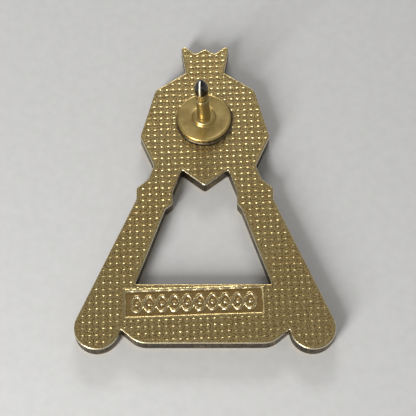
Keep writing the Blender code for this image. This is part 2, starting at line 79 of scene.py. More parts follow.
# Edges of the struck plate
RIM_LEVEL = -0.055
RIM_FADE = (0.16, 0.34)
BACK_ROUNDING = 0.13
FRONT_ROUNDING = 0.07
EDGE_SPACING = 0.09
POCKET_SPACING = 1.6 * EDGE_SPACING
FRONT_GRID = 0.2
FRONT_RINGS = (0.015, 0.04, 0.08)
RING_DEPTHS = (0.012, 0.035, 0.065, 0.1, 0.15)
WALL_ROWS = 7

# Sunk panel and its frieze
PANEL_WALL = 0.07
PANEL_LIP = 0.03
FRIEZE_MARGIN = 0.45
FRIEZE_WAVES = 5
FRIEZE_SWING = 0.7
FRIEZE_HALF_LINE = 0.14
FRIEZE_RISE = 0.15
FRIEZE_WEAVE = 0.03
BEAD_RADIUS = 0.2
FINE_STEP = 0.04
PANEL_FLOOR = -0.2
LIP_MIDDLE = 0.07
LIP_HALF_WIDTH = 0.05
LIP_BEAD_RISE = 0.03
LIP_BEAD_PITCH = 0.22
LIP_BEAD_REACH = 0.3

# Enamel
ENAMEL_CLEARANCE = 0.014
ENAMEL_SPACING = 0.12
ENAMEL_GRID = 0.18
ENAMEL_RINGS = (0.02, 0.05, 0.1, 0.16)
ENAMEL_SINK = 0.02
ENAMEL_CREEP = 0.045
ENAMEL_CREEP_REACH = 0.07
ENAMEL_HOLLOW = 0.012
POCKET_GAP = 0.02

# Solder, pad and post
SOLDER_HEADING = math.radians(-35)
COLLAR_HEIGHT = 0.35
COLLAR_RADIUS = 1.05
COLLAR_ROUNDING = 0.28
COLLAR_FILLET = 0.12
PAD_ROUNDING = 0.2
PAD_DISH = 0.03
GROOVE_FROM_TIP = 3.1
GROOVE_HALF_WIDTH = 0.16
GROOVE_BEND = 0.12
TIP_LENGTH = 1.35

# Colours
GOLD = (0.72, 0.52, 0.185)
GOLD_DARK = (0.50, 0.34, 0.11)
# Painted highlight: the pale gold laid on the higher parts of the back.
GOLD_HIGHLIGHT_PALE = (0.90, 0.74, 0.36)
GOLD_GREEN = (0.60, 0.50, 0.15)
GOLD_PINK = (0.74, 0.46, 0.20)
PIT_BROWN = (0.27, 0.165, 0.075)
# Painted highlight: the near-white colour laid on the plate's rolled edges.
ROLL_HIGHLIGHT = (0.96, 0.88, 0.66)
PANEL_BROWN = (0.44, 0.29, 0.11)
FRONT_GOLD = (0.82, 0.61, 0.25)
# Painted shade: the near-black colours of the die-cut walls.
SHADED_EDGE_DARK = (0.035, 0.025, 0.014)
SHADED_EDGE_LIGHTER = (0.13, 0.09, 0.04)
# Painted shade: the dark colour laid on the foot of the pad's wall.
PAD_WALL_SHADE = (0.10, 0.09, 0.075)
PAD_GOLD_DARK = (0.64, 0.46, 0.17)
PAD_GOLD_LIGHT = (0.80, 0.62, 0.26)
POST_GOLD_DARK = (0.42, 0.34, 0.17)
POST_GOLD_LIGHT = (0.55, 0.46, 0.25)
# Bare metal at the tip, painted near black for the dark reflections it shows.
BARE_TIP_PAINTED_DARK = (0.075, 0.07, 0.063)
# Painted highlight: the whitish streak down the post's tip.
HIGHLIGHT_STREAK_COLOUR = (0.95, 0.93, 0.86)
SOLDER_DARK = (0.10, 0.085, 0.065)
SOLDER_LIGHT = (0.30, 0.24, 0.15)
FLOOR_DARK = (0.74, 0.74, 0.73)
FLOOR_LIGHT = (0.78, 0.78, 0.77)
ENAMEL_COLOURS = {
    "enamel_red": ((0.42, 0.012, 0.018), (0.26, 0.006, 0.010)),
    "enamel_blue": ((0.012, 0.045, 0.26), (0.006, 0.022, 0.15)),
    "enamel_sky": ((0.10, 0.30, 0.52), (0.06, 0.21, 0.40)),
    "enamel_white": ((0.80, 0.79, 0.74), (0.70, 0.69, 0.63)),
}

# Where the colours and finishes change, and how far apart the lathe's rings are
# Heights where the back's painted shade (lower down) gives way to painted highlight (higher up).
DOT_FOOT_DEPTH = 0.085
DOT_TOP_DEPTH = 0.03
PANEL_SHADE_DEPTHS = (0.15, 0.185)
FRONT_GOLD_HEIGHTS = (0.3, 0.2)
ROLL_FACING = (0.86, 0.7)
# Heights and west fade of the painted shade on the pad's wall.
PAD_SHADE_DEPTH = 0.24
PAD_UNSHADED_DEPTH = 0.13
PAD_LIT_WEST_FADE = (1.4, 0.4)
LATHE_PITCH = 0.11
BARE_BELOW_TIP = 0.5
BARE_FADE = 0.05
TIP_SHIFT = 0.46
# Place and widths of the painted highlight streak on the tip.
HIGHLIGHT_STREAK_OFFSET = -0.30
HIGHLIGHT_STREAK_WIDTHS = (0.045, 0.08)

# Floor, room and camera: places in metres, lens and sensor in millimetres
FLOOR_HALF_SIZE = 0.6
FLOOR_LEVEL = -0.0002
ROOM_COLOUR = (1.0, 0.98, 0.95, 1.0)
ROOM_STRENGTH = 0.238
CAMERA_PLACE = (0.00036, -0.04871, 0.10319)
CAMERA_HEADING = (-0.00075, 0.41846, -0.90823)
CAMERA_ROLL = math.radians(0.18)
CAMERA_LENS = 108.0
SENSOR_WIDTH = 36.0


# --- Reading the frame ----------------------------------------------------------------------------

def node_vertices(node):
    """The node's vertices in millimetres, with split ones joined, and its triangles."""
    mesh = frame["nodes"][node].data
    places = np.empty(3 * len(mesh.vertices))
    mesh.vertices.foreach_get("co", places)
    mesh.calc_loop_triangles()
    corners = np.empty(3 * len(mesh.loop_triangles), np.int64)
    mesh.loop_triangles.foreach_get("vertices", corners)
    joined, index = np.unique(np.round(places.reshape(-1, 3) / MM, 4), axis=0, return_inverse=True)
    return joined, index.reshape(-1)[corners].reshape(-1, 3)


def flat_loops(node, level):
    """The loops that bound the node's flat faces at a height, the one round the most area first."""
    places, triangles = node_vertices(node)
    flat = np.all(np.abs(places[triangles][:, :, 2] - level) < 0.002, axis=1)
    directed = set()
    for a, b, c in triangles[flat]:
        directed.update([(a, b), (b, c), (c, a)])
    following = {a: b for a, b in directed if (b, a) not in directed}
    loops = []
    while following:
        start, here = following.popitem()
        loop = [start]
        while here != start:
            loop.append(here)
            here = following.pop(here)
        loops.append(places[loop][:, :2])
    return sorted(loops, key=lambda loop: -np.abs(signed_area(loop)))


# --- Plane geometry -------------------------------------------------------------------------------

def signed_area(loop):
    """The loop's area, positive if it runs anticlockwise."""
    after = np.roll(loop, -1, axis=0)
    return float(np.sum(loop[:, 0] * after[:, 1] - loop[:, 1] * after[:, 0]) / 2)


def turned(loop, anticlockwise):
    """The loop, running the way asked for."""
    return loop if (signed_area(loop) > 0) == anticlockwise else loop[::-1]


def resampled(loop, spacing):
    """The loop with points about a spacing apart, and no two much closer than half of it."""
    points = []
    for index in range(len(loop)):
        start = loop[index]
        end = loop[(index + 1) % len(loop)]
        steps = max(1, round(float(np.linalg.norm(end - start)) / spacing))
        for step in range(steps):
            point = start + (end - start) * step / steps
            if not points or np.linalg.norm(point - points[-1]) > 0.45 * spacing:
                points.append(point)
    return np.array(points)


def inward_normals(loop):
    """At each point, the unit vector to the left of the loop's run."""
    along = np.roll(loop, -1, axis=0) - np.roll(loop, 1, axis=0)
    normals = np.stack([-along[:, 1], along[:, 0]], axis=1)
    return normals / np.linalg.norm(normals, axis=1)[:, None]


def edge_distance(points, loops):
    """The distance from each point to the nearest of the closely spaced loops."""
    corners = np.concatenate(loops)
    before = np.concatenate([np.roll(loop, 1, axis=0) for loop in loops])
    after = np.concatenate([np.roll(loop, -1, axis=0) for loop in loops])
    tree = KDTree(len(corners))
    for index, (x, y) in enumerate(corners):
        tree.insert((x, y, 0.0), index)
    tree.balance()
    nearest = np.array([tree.find((x, y, 0.0))[1] for x, y in points], int)
    found = np.full(len(points), np.inf)
    for others in (before, after):
        span = others[nearest] - corners[nearest]
        offset = points - corners[nearest]
        share = np.clip(np.sum(offset * span, axis=1) / np.sum(span * span, axis=1), 0, 1)
        found = np.minimum(found, np.linalg.norm(offset - share[:, None] * span, axis=1))
    return found


def inside(points, loops):
    """Whether each point lies inside the outline and outside its holes."""
    order = np.argsort(points[:, 1])
    x, y = points[order].T
    crossed = np.zeros(len(points), bool)
    for loop in loops:
        for (x0, y0), (x1, y1) in zip(loop, np.roll(loop, -1, axis=0)):
            if y0 != y1:
                part = slice(*np.searchsorted(y, (min(y0, y1), max(y0, y1))))
                crossed[part] ^= x[part] < (x1 - x0) * (y[part] - y0) / (y1 - y0) + x0
    found = np.empty(len(points), bool)
    found[order] = crossed
    return found


def rings(loops, depths):
    """Points at set depths inside the loops, where the loops leave room for them."""
    found = []
    for depth in depths:
        ring = np.concatenate([loop + inward_normals(loop) * depth for loop in loops])
        clear = edge_distance(ring, loops) > 0.9 * depth
        found.append(ring[clear & inside(ring, loops)])
    return np.concatenate(found)


def grid(low, high, step, tilt=0.0, through=(0.0, 0.0)):
    """A square grid of points over a box, tilted and passing through a point."""
    reach = math.hypot(high[0] - low[0], high[1] - low[1])
    ticks = np.arange(-math.ceil(reach / step), math.ceil(reach / step) + 1) * step
    u, v = np.meshgrid(ticks, ticks)
    x = through[0] + u * math.cos(tilt) - v * math.sin(tilt)
    y = through[1] + u * math.sin(tilt) + v * math.cos(tilt)
    points = np.stack([x.ravel(), y.ravel()], axis=1)
    return points[np.all((points > low) & (points < high), axis=1)]


def smooth_step(low, high, value):
    """0 below low, 1 above high, and a soft rise between."""
    share = np.clip((value - low) / (high - low), 0, 1)
    return share * share * (3 - 2 * share)


def soft_noise(points, size, seed):
    """Smooth noise from -1 to 1 whose lumps are about a size across."""
    values = np.random.default_rng(seed).uniform(-1, 1, (256, 256))
    place = points / size + 64.0
    cell = np.floor(place).astype(int)
    share = place - cell
    share = share * share * (3 - 2 * share)
    total = np.zeros(len(points))
    for dx in (0, 1):
        for dy in (0, 1):
            weight = np.abs(1 - dx - share[:, 0]) * np.abs(1 - dy - share[:, 1])
            total += weight * values[(cell[:, 0] + dx) % 256, (cell[:, 1] + dy) % 256]
    return total


# --- Meshes ---------------------------------------------------------------------------------------

class Shell:
    """A closed mesh in the making: points in millimetres, and faces."""

    def __init__(self):
        self.points = []
        self.faces = []
        self.finishes = []
        self.count = 0

    def add_points(self, places):
        """Add points, and return their numbers."""
        numbers = np.arange(self.count, self.count + len(places))
        self.points.append(np.asarray(places, float))
        self.count += len(places)
        return numbers

    def add_sheet(self, loops, extra, height, faces_up):
        """Triangulate a region, raise it to a height field, and return its loops' point numbers."""
        plane = np.concatenate([*loops, extra]) if len(extra) else np.concatenate(loops)
        edges = []
        first = 0
        for loop in loops:
            edges += [(first + k, first + (k + 1) % len(loop)) for k in range(len(loop))]
            first += len(loop)
        made = delaunay_2d_cdt([Vector(point) for point in plane], edges, [], 0, 1e-7)
        places = np.array([tuple(point) for point in made[0]])
        number_of = np.zeros(len(plane), int)
        for new, olds in enumerate(made[3]):
            number_of[list(olds)] = new
        triangles = np.array(made[2])
        triangles = triangles[inside(places[triangles].mean(axis=1), loops)]
        if not faces_up:
            triangles = triangles[:, ::-1]
        numbers = self.add_points(np.column_stack([places, height(places)]))
        self.add_faces(numbers[triangles])
        rows = []
        first = 0
        for loop in loops:
            rows.append(numbers[number_of[first:first + len(loop)]])
            first += len(loop)
        return rows

    def add_faces(self, triangles, finish=0):
        """Add triangles with the material of that number."""
        self.faces.append(triangles)
        self.finishes.append(np.full(len(triangles), finish))

    def add_wall(self, lower, upper, finish=0):
        """Join two rows of points that run with the material on their left."""
        lower_next = np.roll(lower, -1)
        upper_next = np.roll(upper, -1)
        self.add_faces(np.stack([lower, lower_next, upper_next], axis=1), finish)
        self.add_faces(np.stack([lower, upper_next, upper], axis=1), finish)

    def finished(self, name, sharp_degrees=48):
        """The shell as an object, smooth but for its sharp edges."""
        mesh = bpy.data.meshes.new(name)
        places = np.concatenate(self.points) * MM
        mesh.from_pydata(places.tolist(), [], np.concatenate(self.faces).tolist())
        mesh.polygons.foreach_set("material_index", np.concatenate(self.finishes))
        mesh.validate()
        mesh.shade_smooth()
        mesh.set_sharp_from_angle(angle=math.radians(sharp_degrees))
        piece = bpy.data.objects.new(name, mesh)
        bpy.context.scene.collection.objects.link(piece)
        return piece


# --- The plate ------------------------------------------------------------------------------------

def waffle_places(points):
    """Each point's offset from its own dot's middle, that dot's chance numbers, and its place.

    The place is measured along the rows and along the columns, in millimetres.
    """
    offset = points - np.array(WAFFLE_BUMP)
    u = offset[:, 0] * math.cos(WAFFLE_TILT) + offset[:, 1] * math.sin(WAFFLE_TILT)
    v = offset[:, 1] * math.cos(WAFFLE_TILT) - offset[:, 0] * math.sin(WAFFLE_TILT)
    column = np.round(u / WAFFLE_PITCH)
    row = np.round(v / WAFFLE_PITCH)
    first, second = [np.modf(np.sin(column * a + row * b) * 43758.5453)[0] for a, b in DOT_CHANCES]
    du = u - WAFFLE_PITCH * (column + DOT_STRAY * first)
    dv = v - WAFFLE_PITCH * (row + DOT_STRAY * second)
    return du, dv, first, second, u, v


def waffle(points):
    """The raised dots of the back, the low ribs they stand on, and the dashes between them."""
    du, dv, first, second, u, v = waffle_places(points)
    reach = (np.abs(du) ** BUMP_SQUARENESS + np.abs(dv) ** BUMP_SQUARENESS) ** (1 / BUMP_SQUARENESS)
    reach = reach / (BUMP_RADIUS * (1 + 0.12 * second))
    dome = np.sqrt(np.clip(BUMP_BULGE ** 2 - reach ** 2, 0, None)) - math.sqrt(BUMP_BULGE ** 2 - 1)
    dome = np.clip(dome, 0, None) / (BUMP_BULGE - math.sqrt(BUMP_BULGE ** 2 - 1))
    rib = COLUMN_RISE * (0.5 + 0.5 * np.cos(2 * math.pi * u / WAFFLE_PITCH))
    rib += ROW_RISE * (0.5 + 0.5 * np.cos(2 * math.pi * v / WAFFLE_PITCH))
    across = np.abs(np.abs(dv) - WAFFLE_PITCH / 2) / DASH_HALF_WIDTH
    along = du / DASH_HALF_LENGTH
    dash = DASH_RISE * np.clip(1 - across ** 2, 0, 1) * np.clip(1 - along ** 2, 0, 1)
    right_side = smooth_step(0.5, 7.0, points[:, 0])
    worn = 1 - right_side * (0.1 + 0.16 * (1 - smooth_step(-3.0, 4.0, points[:, 1])))
    worn -= 0.12 * smooth_step(10.0, 13.0, points[:, 1])
    return rib + dash + BUMP_HEIGHT * worn * (0.85 + 0.15 * first) * dome


def waffle_points(low, high):
    """Mesh points that follow the dots: rings around each one, and a coarser grid between them."""
    centres = grid(low, high, WAFFLE_PITCH, WAFFLE_TILT, WAFFLE_BUMP)
    du, dv = waffle_places(centres)[:2]
    cosine = math.cos(WAFFLE_TILT)
    sine = math.sin(WAFFLE_TILT)
    tilt = np.array([[cosine, sine], [-sine, cosine]])
    centres = centres - np.column_stack([du, dv]) @ tilt
    made = [centres]
    for share, count in DOT_RINGS:
        for step in range(count):
            angle = 2 * math.pi * (step + 0.5 * (count % 4 == 0)) / count
            made.append(centres + BUMP_RADIUS * share * np.array([math.cos(angle), math.sin(angle)]))
    between = grid(low, high, WAFFLE_PITCH / STEPS_PER_PITCH, WAFFLE_TILT, WAFFLE_BUMP)
    du, dv = waffle_places(between)[:2]
    made.append(between[np.hypot(du, dv) > 1.35 * BUMP_RADIUS])
    return np.concatenate(made)


class Panel:
    """The sunk panel on the bar, placed by the CAD model's own."""

    def __init__(self, loop):
        self.middle = loop.mean(axis=0)
        spans = np.roll(loop, -1, axis=0) - loop
        lengths = np.linalg.norm(spans, axis=1)
        along = spans[int(np.argmax(lengths))]
        along = along if along[0] > 0 else -along
        self.along = along / np.linalg.norm(along)
        self.tilt = math.atan2(self.along[1], self.along[0])
        self.half_length = lengths.max() / 2
        self.half_height = lengths.min() / 2

    def local(self, points):
        """The points along and across the panel."""
        offset = points - self.middle
        return offset @ self.along, offset @ np.array([-self.along[1], self.along[0]])

    def depth_inside(self, points):
        """How far each point lies inside the panel's edge, negative outside."""
        x, y = self.local(points)
        return np.minimum(self.half_length - np.abs(x), self.half_height - np.abs(y))

    def frieze(self, points):
        """The two waving lines and the beads in their eyes, above the panel's floor."""
        x, y = self.local(points)
        half = self.half_length - FRIEZE_MARGIN
        wave = math.pi * FRIEZE_WAVES / half
        rise = np.zeros(len(points))
        for side in (1, -1):
            slope = FRIEZE_SWING * wave * np.cos(wave * x)
            gap = np.abs(y - side * FRIEZE_SWING * np.sin(wave * x)) / np.sqrt(1 + slope ** 2)
            ridge = np.sqrt(np.clip(1 - (gap / FRIEZE_HALF_LINE) ** 2, 0, 1))
            crest = FRIEZE_RISE + side * FRIEZE_WEAVE * np.cos(wave * x)
            rise = np.maximum(rise, ridge * crest * (np.abs(x) < half))
        eye = half / FRIEZE_WAVES
        for index in range(2 * FRIEZE_WAVES):
            centre = -half + eye * (index + 0.5)
            gap = np.hypot(x - centre, y) / BEAD_RADIUS
            rise = np.maximum(rise, 0.85 * FRIEZE_RISE * np.sqrt(np.clip(1 - gap ** 2, 0, 1)))
        return rise


def back_relief(points, loops, panel, back):
    """The height of the struck back: waffle, rolled edge and sunk panel."""
    edge = edge_distance(points, loops)
    uneven = 0.012 * soft_noise(points, 2.4, 3) + 0.006 * soft_noise(points, 0.5, 5)
    grain = 0.004 * soft_noise(points, 0.16, 7)
    field = WAFFLE_GROUND + waffle(points) + 0.5 * uneven
    depth = panel.depth_inside(points)
    field += (RIM_LEVEL - field) * smooth_step(-0.26, -0.1, depth)
    share = smooth_step(*RIM_FADE, edge + 0.05 * soft_noise(points, 0.8, 11))
    height = RIM_LEVEL + uneven + (field - RIM_LEVEL - uneven) * share
    along_panel, up_panel = panel.local(points)
    right_end = smooth_step(0.0, LIP_BEAD_REACH, along_panel - panel.half_length + LIP_BEAD_REACH)
    beaded = LIP_BEAD_RISE * (1 + np.cos(2 * math.pi * up_panel / LIP_BEAD_PITCH)) * right_end
    lip = (PANEL_LIP + beaded) * np.exp(-((depth + LIP_MIDDLE) / LIP_HALF_WIDTH) ** 2)
    floor = PANEL_FLOOR + panel.frieze(points) + 0.6 * uneven
    height += lip * share
    height += (floor - height) * smooth_step(-0.01, PANEL_WALL, depth)
    drop = np.clip(BACK_ROUNDING - edge, 0, BACK_ROUNDING)
    height -= BACK_ROUNDING - np.sqrt(BACK_ROUNDING ** 2 - drop ** 2)
    return back + height + grain


def front_relief(points, loops):
    """The polished tops of the rim and the metal lines, softly rounded at their edges."""
    edge = edge_distance(points, loops)
    drop = np.clip(FRONT_ROUNDING - edge, 0, FRONT_ROUNDING)
    uneven = 0.004 * (1 + soft_noise(points, 1.5, 23))
    return FRONT_ROUNDING - np.sqrt(FRONT_ROUNDING ** 2 - drop ** 2) + uneven


def make_plate():
    """The struck plate, closed: waffled back, walls, polished front lines and enamel pockets."""
    back = cad_top("badge_plate")
    back_loops = flat_loops("badge_plate", back)
    outline = resampled(turned(back_loops[0], True), EDGE_SPACING)
    gap = resampled(turned(back_loops[1], False), EDGE_SPACING)
    panel = Panel(back_loops[2])
    edges = [outline, gap]
    low = outline.min(axis=0)
    high = outline.max(axis=0)

    field = waffle_points(low, high)
    field = field[inside(field, edges)]
    field = field[edge_distance(field, edges) > RING_DEPTHS[-1] + 0.04]
    field = field[panel.depth_inside(field) < -0.14]
    fine = grid(low, high, FINE_STEP, panel.tilt, panel.middle)
    fine = fine[panel.depth_inside(fine) > -0.12]
    fine = fine[inside(fine, edges)]
    fine = fine[edge_distance(fine, edges) > RING_DEPTHS[-1]]
    shell = Shell()
    extra = np.concatenate([rings(edges, RING_DEPTHS), field, fine])
    upper_rows = shell.add_sheet(edges, extra, lambda p: back_relief(p, edges, panel, back), True)

    pocket_loops = flat_loops("badge_plate", 0.0)[2:]
    pockets = [resampled(turned(loop, False), POCKET_SPACING) for loop in pocket_loops]
    regions = edges + pockets
    plain = grid(low, high, FRONT_GRID)
    plain = plain[inside(plain, regions)]
    plain = plain[edge_distance(plain, regions) > 0.12]
    front_extra = np.concatenate([rings(regions, FRONT_RINGS), plain])
    lower_rows = shell.add_sheet(regions, front_extra, lambda p: front_relief(p, regions), False)

    for loop, upper, lower in zip(edges, upper_rows, lower_rows):
        top = np.concatenate(shell.points)[upper][:, 2]
        bottom = np.concatenate(shell.points)[lower][:, 2]
        normals = inward_normals(loop)
        below = lower
        for row in range(1, WALL_ROWS):
            share = row / WALL_ROWS
            height = bottom + (top - bottom) * share
            stroke = 0.012 * soft_noise(loop * 6 + row * 0.7, 1.0, 31) * math.sin(math.pi * share)
            place = loop - normals * (stroke - 0.01 * math.sin(math.pi * share))[:, None]
            above = shell.add_points(np.column_stack([place, height]))
            shell.add_wall(below, above, 1)
            below = above
        shell.add_wall(below, upper, 1)
    pocket_roof = pocket_level()
    for loop, lower in zip(pockets, lower_rows[2:]):
        upper = shell.add_sheet([loop], [], lambda p: np.full(len(p), pocket_roof), False)[0]
        shell.add_wall(lower, upper)
    plate = shell.finished("struck_plate")
    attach(plate, BODY)
    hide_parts("badge_plate")
    return plate


def cad_top(node):
    """The top of a CAD node, in millimetres."""
    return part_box(node)[1][2] / MM


def pocket_level():
    """The height of the pockets' inner faces, just above the enamel."""
    return cad_top("enamel_crown") + POCKET_GAP


# --- Enamel ---------------------------------------------------------------------------------------

def make_enamel(node, finish):
    """One fill: glossy, hollowed a little as it sets, and creeping up the metal at its edge."""
    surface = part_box(node)[0][2] / MM
    top = cad_top(node)
    loop = resampled(turned(flat_loops(node, surface)[0], True), ENAMEL_SPACING)
    loop = loop - inward_normals(loop) * ENAMEL_CLEARANCE
    low = loop.min(axis=0)
    high = loop.max(axis=0)
    plain = grid(low, high, ENAMEL_GRID)
    plain = plain[inside(plain, [loop])]
    plain = plain[edge_distance(plain, [loop]) > 0.2]
    extra = np.concatenate([rings([loop], ENAMEL_RINGS), plain])

    def sag(points):
        edge = edge_distance(points, [loop])
        wave = 0.005 * soft_noise(points, 1.1, 41)
        creep = ENAMEL_CREEP * np.exp(-edge / ENAMEL_CREEP_REACH)
        hollow = ENAMEL_HOLLOW * smooth_step(0, 1.2, edge)
        return surface + ENAMEL_SINK - creep + hollow + wave

    shell = Shell()
    lower = shell.add_sheet([loop], extra, sag, False)[0]
    upper = shell.add_sheet([loop], [], lambda p: np.full(len(p), top), True)[0]
    shell.add_wall(lower, upper)
    piece = shell.finished(node.replace("enamel", "fill"))
    piece.data.materials.append(finish)
    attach(piece, BODY)
    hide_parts(node)


# --- Turned pieces --------------------------------------------------------------------------------

def lathe(name, profile, axis_point, axis_tip, steps, closed_ring):
    """Turn a profile of (radius, distance along the axis) around a leaning axis, in millimetres.

    A closed ring joins the profile's end to its start. Otherwise both ends are capped.
    """
    base = Vector(axis_point)
    along = (Vector(axis_tip) - base).normalized()
    turn = Vector((0, 0, 1)).rotation_difference(along)
    points = []
    faces = []
    for radius, reach in profile:
        for step in range(steps):
            angle = 2 * math.pi * step / steps
            spoke = Vector((radius * math.cos(angle), radius * math.sin(angle), reach))
            points.append((base + turn @ spoke) * MM)
    rows = len(profile)
    for row in range(rows if closed_ring else rows - 1):
        above = (row + 1) % rows
        for step in range(steps):
            beside = (step + 1) % steps
            lower = (row * steps + step, row * steps + beside)
            faces.append((*lower, above * steps + beside, above * steps + step))
    if not closed_ring:
        faces.append(tuple(reversed(range(steps))))
        faces.append(tuple(range((rows - 1) * steps, rows * steps)))
    mesh = bpy.data.meshes.new(name)
    mesh.from_pydata([tuple(point) for point in points], [], faces)
    mesh.validate()
    mesh.shade_smooth()
    mesh.set_sharp_from_angle(angle=math.radians(40))
    piece = bpy.data.objects.new(name, mesh)
    bpy.context.scene.collection.objects.link(piece)
    return piece


def bend(centre_radius, centre_reach, radius, start, end, steps=8):
    """Profile points round a bend, from one angle to another in degrees."""
    points = []
    for step in range(steps + 1):
        angle = math.radians(start + (end - start) * step / steps)
        out = centre_radius + radius * math.cos(angle)
        points.append((out, centre_reach + radius * math.sin(angle)))
    return points


def axis_of(node):
    """The axis of a turned CAD piece: a point on it, and its upward direction.

    With them come each vertex's reach along the axis and its distance from it.
    """
    places, _ = node_vertices(node)
    middle = places.mean(axis=0)
    spread = (places - middle).T @ (places - middle)
    along = np.linalg.eigh(spread)[1][:, 2]
    along = along if along[2] > 0 else -along
    reach = (places - middle) @ along
    radius = np.linalg.norm(places - middle - reach[:, None] * along, axis=1)
    return middle, along, reach, radius


def upright_middle(node):
    """The middle of an upright CAD piece, and its half width."""
    low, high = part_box(node)
    middle = [(a + b) / 2 / MM for a, b in zip(low, high)]
    return middle, (high[0] - low[0]) / 2 / MM


def make_solder():
    """The dull solder that holds the pad, showing a little unevenly around it."""
    middle, radius = upright_middle("solder_joint")
    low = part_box("solder_joint")[0][2] / MM
    pad_radius = upright_middle("post_pad")[1]
    spill = radius - pad_radius
    profile = [(pad_radius - 0.5, low), (pad_radius + spill * 1.1, low)]
    profile += bend(pad_radius + spill * 1.1, low + 0.06 + spill, spill, 270, 190)
    profile += [(pad_radius + 0.01, low + 0.06 + spill), (pad_radius - 0.5, low + 0.05)]
    base = (middle[0], middle[1], 0.0)
    tip = (middle[0], middle[1], 1.0)
    solder = lathe("solder_fillet", profile, base, tip, 160, True)
    for vertex in solder.data.vertices:
        offset = np.array([vertex.co.x / MM - middle[0], vertex.co.y / MM - middle[1]])
        radius_here = float(np.linalg.norm(offset))
        if radius_here > pad_radius + 0.02:
            angle = math.atan2(offset[1], offset[0])
            spread = 0.2 + 0.8 * (0.5 + 0.5 * math.cos(angle - SOLDER_HEADING)) ** 1.5
            lumps = 0.3 * math.sin(3 * angle + 1.0) * math.sin(5 * angle) + 0.15 * math.sin(11 * angle)
            swell = spread * (1 + lumps)
            grown = pad_radius + 0.02 + (radius_here - pad_radius - 0.02) * swell
            vertex.co.x = (middle[0] + offset[0] / radius_here * grown) * MM
            vertex.co.y = (middle[1] + offset[1] / radius_here * grown) * MM
    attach(solder, BODY)
    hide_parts("solder_joint")
    return solder


def make_pad():
    """The turned pad: slightly dished face, rounded rim, and a collar around the post."""
    middle, radius = upright_middle("post_pad")
    low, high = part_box("post_pad")
    bottom = low[2] / MM
    collar_top = high[2] / MM
    face = collar_top - COLLAR_HEIGHT
    profile = [(0.3, bottom), (radius - 0.06, bottom)]
    profile += bend(radius - 0.06, bottom + 0.06, 0.06, 270, 360)
    profile += bend(radius - PAD_ROUNDING, face - PAD_ROUNDING, PAD_ROUNDING, 0, 90, 14)
    for reach in np.linspace(radius - PAD_ROUNDING - 0.05, COLLAR_RADIUS + COLLAR_FILLET + 0.04, 26):
        dish = PAD_DISH * math.sin(math.pi * (reach - COLLAR_RADIUS) / (radius - COLLAR_RADIUS))
        profile.append((float(reach), face - dish))
    profile += bend(COLLAR_RADIUS + COLLAR_FILLET, face + COLLAR_FILLET, COLLAR_FILLET, 270, 180)
    inner = COLLAR_RADIUS - COLLAR_ROUNDING
    profile += bend(inner, collar_top - COLLAR_ROUNDING, COLLAR_ROUNDING, 0, 90, 12)
    profile += [(0.55, collar_top), (0.3, collar_top - 0.12)]
    base = (middle[0], middle[1], 0.0)
    tip = (middle[0], middle[1], 1.0)
    pad = lathe("turned_pad", profile, base, tip, 256, True)
    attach(pad, BODY)
    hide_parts("post_pad")
    return pad


def make_post():
    """The polished nail: shank, clutch groove and a blunt point."""
    middle, along, reach, radius = axis_of("pin_post")
    shank = float(np.median(radius))
    tip = float(reach.max())
    foot = float(reach.min()) + 0.25
    groove = tip - GROOVE_FROM_TIP
    profile = [(shank, foot)]
    for step in np.linspace(foot + 0.3, groove - 0.3, 24):
        profile.append((shank, float(step)))
    profile += [(shank, groove - GROOVE_HALF_WIDTH), (shank - 0.012, groove - GROOVE_BEND)]
    profile += bend(shank + 0.05, groove, GROOVE_BEND, 225, 135, 10)
    profile += [(shank - 0.012, groove + GROOVE_BEND), (shank, groove + GROOVE_HALF_WIDTH)]
    for step in np.linspace(groove + 0.3, tip - TIP_LENGTH - 0.05, 10):
        profile.append((shank, float(step)))
    for step in range(1, 33):
        share = step / 33
        taper = math.cos(share * math.pi / 2) ** 0.8
        profile.append((shank * taper, tip - TIP_LENGTH * (1 - share)))
    profile.append((0.05, tip - 0.015))
    post = lathe("polished_post", profile, middle, middle + along, 128, False)
    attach(post, BODY)
    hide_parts("pin_post")
    return post


# --- Materials ------------------------------------------------------------------------------------

